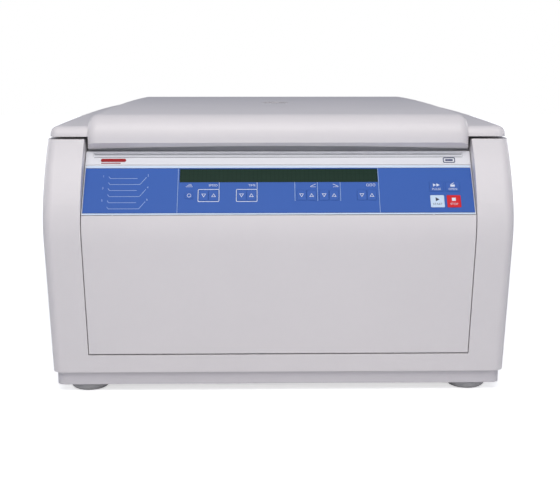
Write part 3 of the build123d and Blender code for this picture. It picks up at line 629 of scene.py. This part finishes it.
start_mark = Prints(**key_print)
start_mark.filled(triangle(start_x - 0.5, lower_key + 2.6, 3.2, 0))
start_mark.word("START", start_x, lower_key - 4.0, 4.0)
start_mark.place("start_mark", "start_key", "start_film", dark_ink)

stop_mark = Prints(**key_print)
stop_mark.box(stop_x, lower_key + 2.6, 4.8, 4.4)
stop_mark.word("STOP", stop_x, lower_key - 4.0, 4.0)
stop_mark.place("stop_mark", "stop_key", "stop_film", white_ink)

pulse_mark = Prints(**key_print)
pulse_mark.filled(triangle(start_x - 2.6, upper_key + 2.4, 2.6, 0))
pulse_mark.filled(triangle(start_x + 1.6, upper_key + 2.4, 2.6, 0))
pulse_mark.word("PULSE", start_x, upper_key - 3.4, 4.1)
pulse_mark.place("pulse_mark", "pulse_key", "key_film", white_ink)

open_mark = Prints(**key_print)
open_mark.box(stop_x, upper_key + 1.5, 5.4, 3.0)
open_mark.line((stop_x - 1.9, upper_key + 3.2), (stop_x + 1.6, upper_key + 5.4), 0.7)
open_mark.word("OPEN", stop_x, upper_key - 3.4, 4.1)
open_mark.place("open_mark", "open_key", "key_film", white_ink)

# --- blank badges on the white band -------------------------------------------------------------
left_badge = Prints(-0.3, 0.35)
left_badge.filled(rounded(-203.0, 75.4, 31.0, 4.4, 2.1))
left_badge.place("left_badge", "cabinet", "bezel_plastic", badge_red)
left_bar = Prints(-0.3, 0.2)
left_bar.filled(rounded(-206.0, 71.3, 24.0, 1.1, 0.5))
left_bar.place("left_badge_bar", "cabinet", "bezel_plastic", badge_red)
badge_place = (210.5, 75.0)
right_badge = Prints(-0.3, 0.35)
right_badge.outlined(rounded(*badge_place, 15.0, 7.6, 1.6), rounded(*badge_place, 13.0, 5.6, 0.9))
right_badge.filled(rounded(*badge_place, 9.6, 2.4, 1.0))
right_badge.place("right_badge", "cabinet", "bezel_plastic", badge_blue)


# --- repeated fittings, made with Geometry Nodes ------------------------------------------------
GEOMETRY = "NodeSocketGeometry"


def make_screw_tree():
    """A round head with a six-sided drive recess at every point, standing along that point's 'facing'."""
    tree, given, result = new_group(
        "screws at points",
        [
            ("Places", GEOMETRY, None),
            ("Head Radius", FLOAT, 0.003),
            ("Head Height", FLOAT, 0.0016),
            ("Recess Radius", FLOAT, 0.0014),
            ("Finish", "NodeSocketMaterial", None),
        ],
        [("Screws", GEOMETRY)],
        "GeometryNodeTree",
    )
    head = put(
        tree,
        "GeometryNodeMeshCylinder",
        {"Vertices": 24, "Side Segments": 1, "Radius": given["Head Radius"], "Depth": given["Head Height"]},
    ).outputs["Mesh"]
    crown = put(
        tree,
        "GeometryNodeMeshCone",
        {
            "Vertices": 24,
            "Radius Top": math_node(tree, "MULTIPLY", given["Head Radius"], 0.72),
            "Radius Bottom": given["Head Radius"],
            "Depth": math_node(tree, "MULTIPLY", given["Head Height"], 0.4),
        },
    ).outputs["Mesh"]
    crown_lift = put(tree, "ShaderNodeCombineXYZ", {2: math_node(tree, "MULTIPLY", given["Head Height"], 0.48)})
    crown = put(tree, "GeometryNodeTransform", {"Geometry": crown, "Translation": crown_lift.outputs[0]})
    body = put(tree, "GeometryNodeMeshBoolean", {"Mesh 2": crown.outputs[0]}, operation="UNION", solver="EXACT")
    tree.links.new(head, body.inputs["Mesh 2"])
    recess = put(
        tree,
        "GeometryNodeMeshCylinder",
        {"Vertices": 6, "Side Segments": 1, "Radius": given["Recess Radius"], "Depth": given["Head Height"]},
    ).outputs["Mesh"]
    recess_lift = put(tree, "ShaderNodeCombineXYZ", {2: math_node(tree, "MULTIPLY", given["Head Height"], 0.7)})
    recess = put(tree, "GeometryNodeTransform", {"Geometry": recess, "Translation": recess_lift.outputs[0]})
    screw = put(
        tree,
        "GeometryNodeMeshBoolean",
        {"Mesh 1": body.outputs[0], "Mesh 2": recess.outputs[0]},
        operation="DIFFERENCE",
        solver="EXACT",
    ).outputs[0]
    facing = put(tree, "GeometryNodeInputNamedAttribute", {"Name": "facing"}, data_type="FLOAT_VECTOR")
    turn = put(tree, "FunctionNodeAlignRotationToVector", {"Vector": facing.outputs[0]}, axis="Z")
    placed = put(
        tree,
        "GeometryNodeInstanceOnPoints",
        {"Points": given["Places"], "Instance": screw, "Rotation": turn.outputs[0]},
    ).outputs[0]
    real = put(tree, "GeometryNodeRealizeInstances", {"Geometry": placed}).outputs[0]
    made = put(tree, "GeometryNodeSetMaterial", {"Geometry": real, "Material": given["Finish"]}).outputs[0]
    tree.links.new(made, result["Screws"])
    return tree


def make_hoop_tree():
    """A round hoop of wire lying flat at every point."""
    tree, given, result = new_group(
        "hoops at points",
        [
            ("Places", GEOMETRY, None),
            ("Hoop Radius", FLOAT, 0.04),
            ("Wire Radius", FLOAT, 0.001),
            ("Finish", "NodeSocketMaterial", None),
        ],
        [("Hoops", GEOMETRY)],
        "GeometryNodeTree",
    )
    hoop = put(tree, "GeometryNodeCurvePrimitiveCircle", {"Resolution": 72, "Radius": given["Hoop Radius"]})
    wire = put(tree, "GeometryNodeCurvePrimitiveCircle", {"Resolution": 10, "Radius": given["Wire Radius"]})
    solid = put(
        tree,
        "GeometryNodeCurveToMesh",
        {"Curve": hoop.outputs["Curve"], "Profile Curve": wire.outputs["Curve"]},
    ).outputs[0]
    solid_places = {"Points": given["Places"], "Instance": solid}
    placed = put(tree, "GeometryNodeInstanceOnPoints", solid_places).outputs[0]
    real = put(tree, "GeometryNodeRealizeInstances", {"Geometry": placed}).outputs[0]
    made = put(tree, "GeometryNodeSetMaterial", {"Geometry": real, "Material": given["Finish"]}).outputs[0]
    tree.links.new(made, result["Hoops"])
    return tree


def grow(name, tree, places, values):
    """Runs a tree on a set of (point, facing) places in mm and returns the plain mesh."""
    mesh = bpy.data.meshes.new(name)
    mesh.from_pydata([[c * MM for c in point] for point, _ in places], [], [])
    facing = mesh.attributes.new("facing", "FLOAT_VECTOR", "POINT")
    for i, (_, direction) in enumerate(places):
        facing.data[i].vector = direction
    seed = bpy.data.objects.new(name, mesh)
    bpy.context.collection.objects.link(seed)
    modifier = seed.modifiers.new(name, "NODES")
    modifier.node_group = tree
    sockets = {item.name: item.identifier for item in tree.interface.items_tree if item.in_out == "INPUT"}
    for label, value in values.items():
        modifier[sockets[label]] = value
    grown = bpy.data.meshes.new_from_object(seed.evaluated_get(bpy.context.evaluated_depsgraph_get()))
    bpy.data.objects.remove(seed)
    for attribute in [a for a in grown.attributes if a.name == "facing"]:
        grown.attributes.remove(attribute)
    return grown


screw_tree = make_screw_tree()
hoop_tree = make_hoop_tree()


def screws(name, body, finish, places, head, height, recess):
    values = {
        "Head Radius": head * MM,
        "Head Height": height * MM,
        "Recess Radius": recess * MM,
        "Finish": finish,
    }
    return add_piece(name, body, finish, grow(name, screw_tree, places, values))


def hoops(name, body, finish, places, radius, wire):
    values = {"Hoop Radius": radius * MM, "Wire Radius": wire * MM, "Finish": finish}
    return add_piece(name, body, finish, grow(name, hoop_tree, places, values))


steel = finishes["ground_steel"]
box_low, box_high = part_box("rear_panel")
rear = box_high.y / MM
rear_low, rear_high = box_low.z / MM, box_high.z / MM
backwards, upwards, downwards = (0, 1, 0), (0, 0, 1), (0, 0, -1)
rear_rows = (rear_low + 8, rear_high - 8)
rear_places = [((x, rear + 0.3, z), backwards) for x in (-274, -92, 92, 274) for z in rear_rows]
rear_places += [((x, rear + 0.3, 168), backwards) for x in (-274, 274)]
screws("rear_panel_screws", "cabinet", steel, rear_places, 3.4, 1.6, 1.6)

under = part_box("lid_inner_plate")[0].z / MM - 0.3
lid_places = [((x, y, under), downwards) for x in (-252, -84, 84, 252) for y in (-248, 286)]
lid_places += [((x, y, under), downwards) for x in (-252, 252) for y in (-70, 108)]
screws("lid_plate_screws", "lid", steel, lid_places, 3.8, 1.4, 1.8)

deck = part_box("deck_plate")[1].z / MM + 0.3
deck_places = [((x, y, deck), upwards) for x in (-262, 262) for y in (-214, 10, 234)]
screws("deck_screws", "cabinet", steel, deck_places, 3.4, 1.4, 1.6)

axis_y, orbit, trunnion_level, plate_face = 10.0, 98.0, 255.0, 65.0
bucket_turns = (0, 90, 180, 270)


def round_axis(angle, radial, tangential, level):
    """A point beside the drive axis, from its bucket's angle, its reach and its offset sideways."""
    turn = math.radians(angle)
    return (
        radial * math.cos(turn) - tangential * math.sin(turn),
        axis_y + radial * math.sin(turn) + tangential * math.cos(turn),
        level,
    )


pin_places = []
for angle in bucket_turns:
    for side in (-1, 1):
        turn = math.radians(angle)
        outwards = (-side * math.sin(turn), side * math.cos(turn), 0)
        pin_places.append((round_axis(angle, orbit, side * (plate_face + 0.4), trunnion_level), outwards))
screws("trunnion_pin_heads", "rotor", steel, pin_places, 5.6, 2.4, 2.6)

rim_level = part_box("bucket_1")[1].z / MM
for number, angle in enumerate(bucket_turns, 1):
    place = [(round_axis(angle, orbit, 0, rim_level), upwards)]
    hoops(f"bucket_{number}_rim", f"bucket_{number}", steel, place, 42.5, 1.2)


def lathe(profile, centre, steps=48):
    """A closed mesh turned round an upright line; the profile runs (radius, level) upwards on its outside."""
    mesh = bpy.data.meshes.new("lathe")
    points, faces = [], []
    for step in range(steps):
        turn = 2 * math.pi * step / steps
        points += [
            (
                (centre[0] + radius * math.cos(turn)) * MM,
                (centre[1] + radius * math.sin(turn)) * MM,
                (centre[2] + level) * MM,
            )
            for radius, level in profile
        ]
    count = len(profile)
    for step in range(steps):
        here, there = step * count, (step + 1) % steps * count
        faces += [(here + i, there + i, there + i + 1, here + i + 1) for i in range(count - 1)]
    faces.append(tuple(step * count for step in reversed(range(steps))))
    faces.append(tuple(step * count + count - 1 for step in range(steps)))
    mesh.from_pydata(points, [], faces)
    return mesh


cushion_profile = [
    (38.0, 0.0), (39.6, 0.3), (39.8, 0.8), (39.0, 1.4), (31.0, 1.5), (30.0, 1.1), (12.0, 1.1), (11.0, 1.5),
]
bucket_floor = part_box("bucket_1")[0].z / MM + 5.0
for number, angle in enumerate(bucket_turns, 1):
    name = f"bucket_{number}_cushion"
    cushion = lathe(cushion_profile, round_axis(angle, orbit, 0, bucket_floor + 0.05))
    add_piece(name, f"bucket_{number}", finishes["black_rubber"], cushion)


def flat_marks(name, body, finish, place_frame, draw, low=-0.05, high=0.25):
    """Raised marks on any plane: draw fills them in, place_frame puts them where they belong, in mm."""
    marks = Prints(low, high)
    draw(marks)
    mesh = bpy.data.meshes.new(name)
    placed = [[c * MM for c in place_frame @ Vector(point)] for point in marks.points]
    mesh.from_pydata(placed, [], marks.faces)
    return add_piece(name, body, finish, mesh)


yoke_hub_top = 262.0
for number, angle in enumerate(bucket_turns, 1):
    spot = Matrix.Translation(round_axis(angle + 45, 46, 0, yoke_hub_top))
    lie = spot @ Matrix.Rotation(math.radians(angle - 45), 4, "Z")
    flat_marks(
        f"yoke_numeral_{number}", "rotor", white_ink, lie,
        lambda marks, figure=str(number): marks.word(figure, 0, 0, 10.0),
    )

rocker_pivot, rocker_tilt, rocker_depth = (-205.0, 328.0, 110.0), 7.0, 5.0  # mm, degrees, mm
rocker_frame = (
    Matrix.Translation(rocker_pivot)
    @ Matrix.Rotation(math.radians(rocker_tilt), 4, "X")
    @ Matrix.Translation((0, rocker_depth, 0))
    @ Matrix(((-1, 0, 0, 0), (0, 0, 1, 0), (0, 1, 0, 0), (0, 0, 0, 1)))
)


def draw_rocker_marks(marks):
    marks.box(0, 6.6, 0.9, 4.2)
    marks.outlined(circle(0, -6.6, 2.2), circle(0, -6.6, 1.5))


flat_marks(
    "rocker_marks", "power_rocker", white_ink, rocker_frame, draw_rocker_marks, -0.6, 0.35
)

plate_x, plate_level = 96.0, 86.0
rear_frame = Matrix(((-1, 0, 0, 0), (0, 0, 1, rear), (0, 1, 0, 0), (0, 0, 0, 1)))


def draw_rating_plate(marks):
    marks.filled(rounded(plate_x, plate_level, 92.0, 52.0, 3.0))


def draw_plate_rules(marks):
    marks.outlined(
        rounded(plate_x, plate_level, 88.0, 48.0, 2.0), rounded(plate_x, plate_level, 87.0, 47.0, 1.5)
    )
    for line in range(5):
        marks.box(plate_x - 4.0 * (line % 2), plate_level + 14.0 - 7.0 * line, 76.0 - 8.0 * (line % 2), 0.8)


plate_finish = finishes["rotor_aluminium"]
flat_marks("rear_plate", "cabinet", plate_finish, rear_frame, draw_rating_plate, -0.1, 0.5)
flat_marks("rear_plate_rules", "cabinet", dark_ink, rear_frame, draw_plate_rules, 0.4, 0.6)

# --- floor, light and camera --------------------------------------------------------------------
scene = bpy.context.scene
scene.view_settings.view_transform = "Standard"


def make_floor():
    half = 6.0
    mesh = bpy.data.meshes.new("floor")
    corners = [(-half, -half, 0), (half, -half, 0), (half, half, 0), (-half, half, 0)]
    mesh.from_pydata(corners, [], [(0, 1, 2, 3)])
    floor = bpy.data.objects.new("floor", mesh)
    bpy.context.collection.objects.link(floor)
    material, tree, shader, position = start_material("pale floor", (0.9, 0.9, 0.9), Roughness=0.7)
    drift = mix_colours(tree, noise(tree, position, 3.0), (0.88, 0.88, 0.88, 1), (0.92, 0.92, 0.92, 1))
    tree.links.new(drift, shader.inputs["Base Color"])
    away = put(tree, "ShaderNodeVectorMath", {0: position}, operation="LENGTH").outputs["Value"]
    fade = {"From Min": 0.5, "From Max": 2.2, "To Min": 0.62, "To Max": 1.0}  # metres, then strength
    far = put(tree, "ShaderNodeMapRange", {"Value": away, **fade})
    glow = put(tree, "ShaderNodeEmission", {"Color": (1, 1, 1, 1), "Strength": far.outputs[0]})
    seen = put(tree, "ShaderNodeMixShader", {0: put(tree, "ShaderNodeLightPath").outputs["Is Camera Ray"]})
    both = put(tree, "ShaderNodeAddShader", {0: shader.outputs[0], 1: glow.outputs[0]})
    tree.links.new(shader.outputs[0], seen.inputs[1])
    tree.links.new(both.outputs[0], seen.inputs[2])
    tree.links.new(seen.outputs[0], tree.nodes["Material Output"].inputs["Surface"])
    mesh.materials.append(material)


def make_world():
    world = bpy.data.worlds.new("studio")
    world.use_nodes = True
    tree = world.node_tree
    air = tree.nodes["Background"]
    air.inputs["Color"].default_value = (0.78, 0.83, 1.0, 1)
    air.inputs["Strength"].default_value = 0.33
    backdrop = put(tree, "ShaderNodeBackground", {"Color": (1, 1, 1, 1), "Strength": 1.0})
    seen = put(tree, "ShaderNodeMixShader", {0: put(tree, "ShaderNodeLightPath").outputs["Is Camera Ray"]})
    tree.links.new(air.outputs[0], seen.inputs[1])
    tree.links.new(backdrop.outputs[0], seen.inputs[2])
    tree.links.new(seen.outputs[0], tree.nodes["World Output"].inputs["Surface"])
    scene.world = world


def add_softbox(name, place, aim, size, power, colour):
    light = bpy.data.lights.new(name, "AREA")
    light.shape = "RECTANGLE"
    light.size, light.size_y = size
    light.energy, light.color = power, colour
    lamp = bpy.data.objects.new(name, light)
    lamp.location = place
    lamp.rotation_euler = (Vector(aim) - Vector(place)).to_track_quat("-Z", "Y").to_euler()
    bpy.context.collection.objects.link(lamp)


def add_camera():
    view_width, focal = 560, 1034.7  # both in the same unit
    dip, turn = 10.293, -1.019  # degrees
    camera = bpy.data.cameras.new("camera")
    camera.sensor_width = 36.0
    camera.lens = focal / view_width * camera.sensor_width
    viewer = bpy.data.objects.new("camera", camera)
    viewer.location = (-21.0 * MM, -1559.2 * MM, 417.2 * MM)
    viewer.rotation_euler = (math.radians(90.0 - dip), 0, math.radians(turn))
    bpy.context.collection.objects.link(viewer)
    scene.camera = viewer


make_floor()
make_world()
add_softbox("key", (-0.05, -1.1, 1.25), (0, -0.3, 0.25), (1.5, 0.8), 11.5, (1.0, 0.965, 0.94))
add_softbox("fill", (0.5, -2.6, 0.55), (0, -0.3, 0.2), (2.2, 0.9), 4.0, (1.0, 0.96, 0.93))
add_softbox("left", (-2.4, 1.3, 0.75), (-0.2, 0.15, 0.2), (1.6, 0.9), 11, (1.0, 0.99, 0.98))
add_softbox("right", (2.3, 1.7, 0.75), (0.2, 0.15, 0.2), (1.6, 0.9), 11, (1.0, 0.99, 0.98))
add_camera()
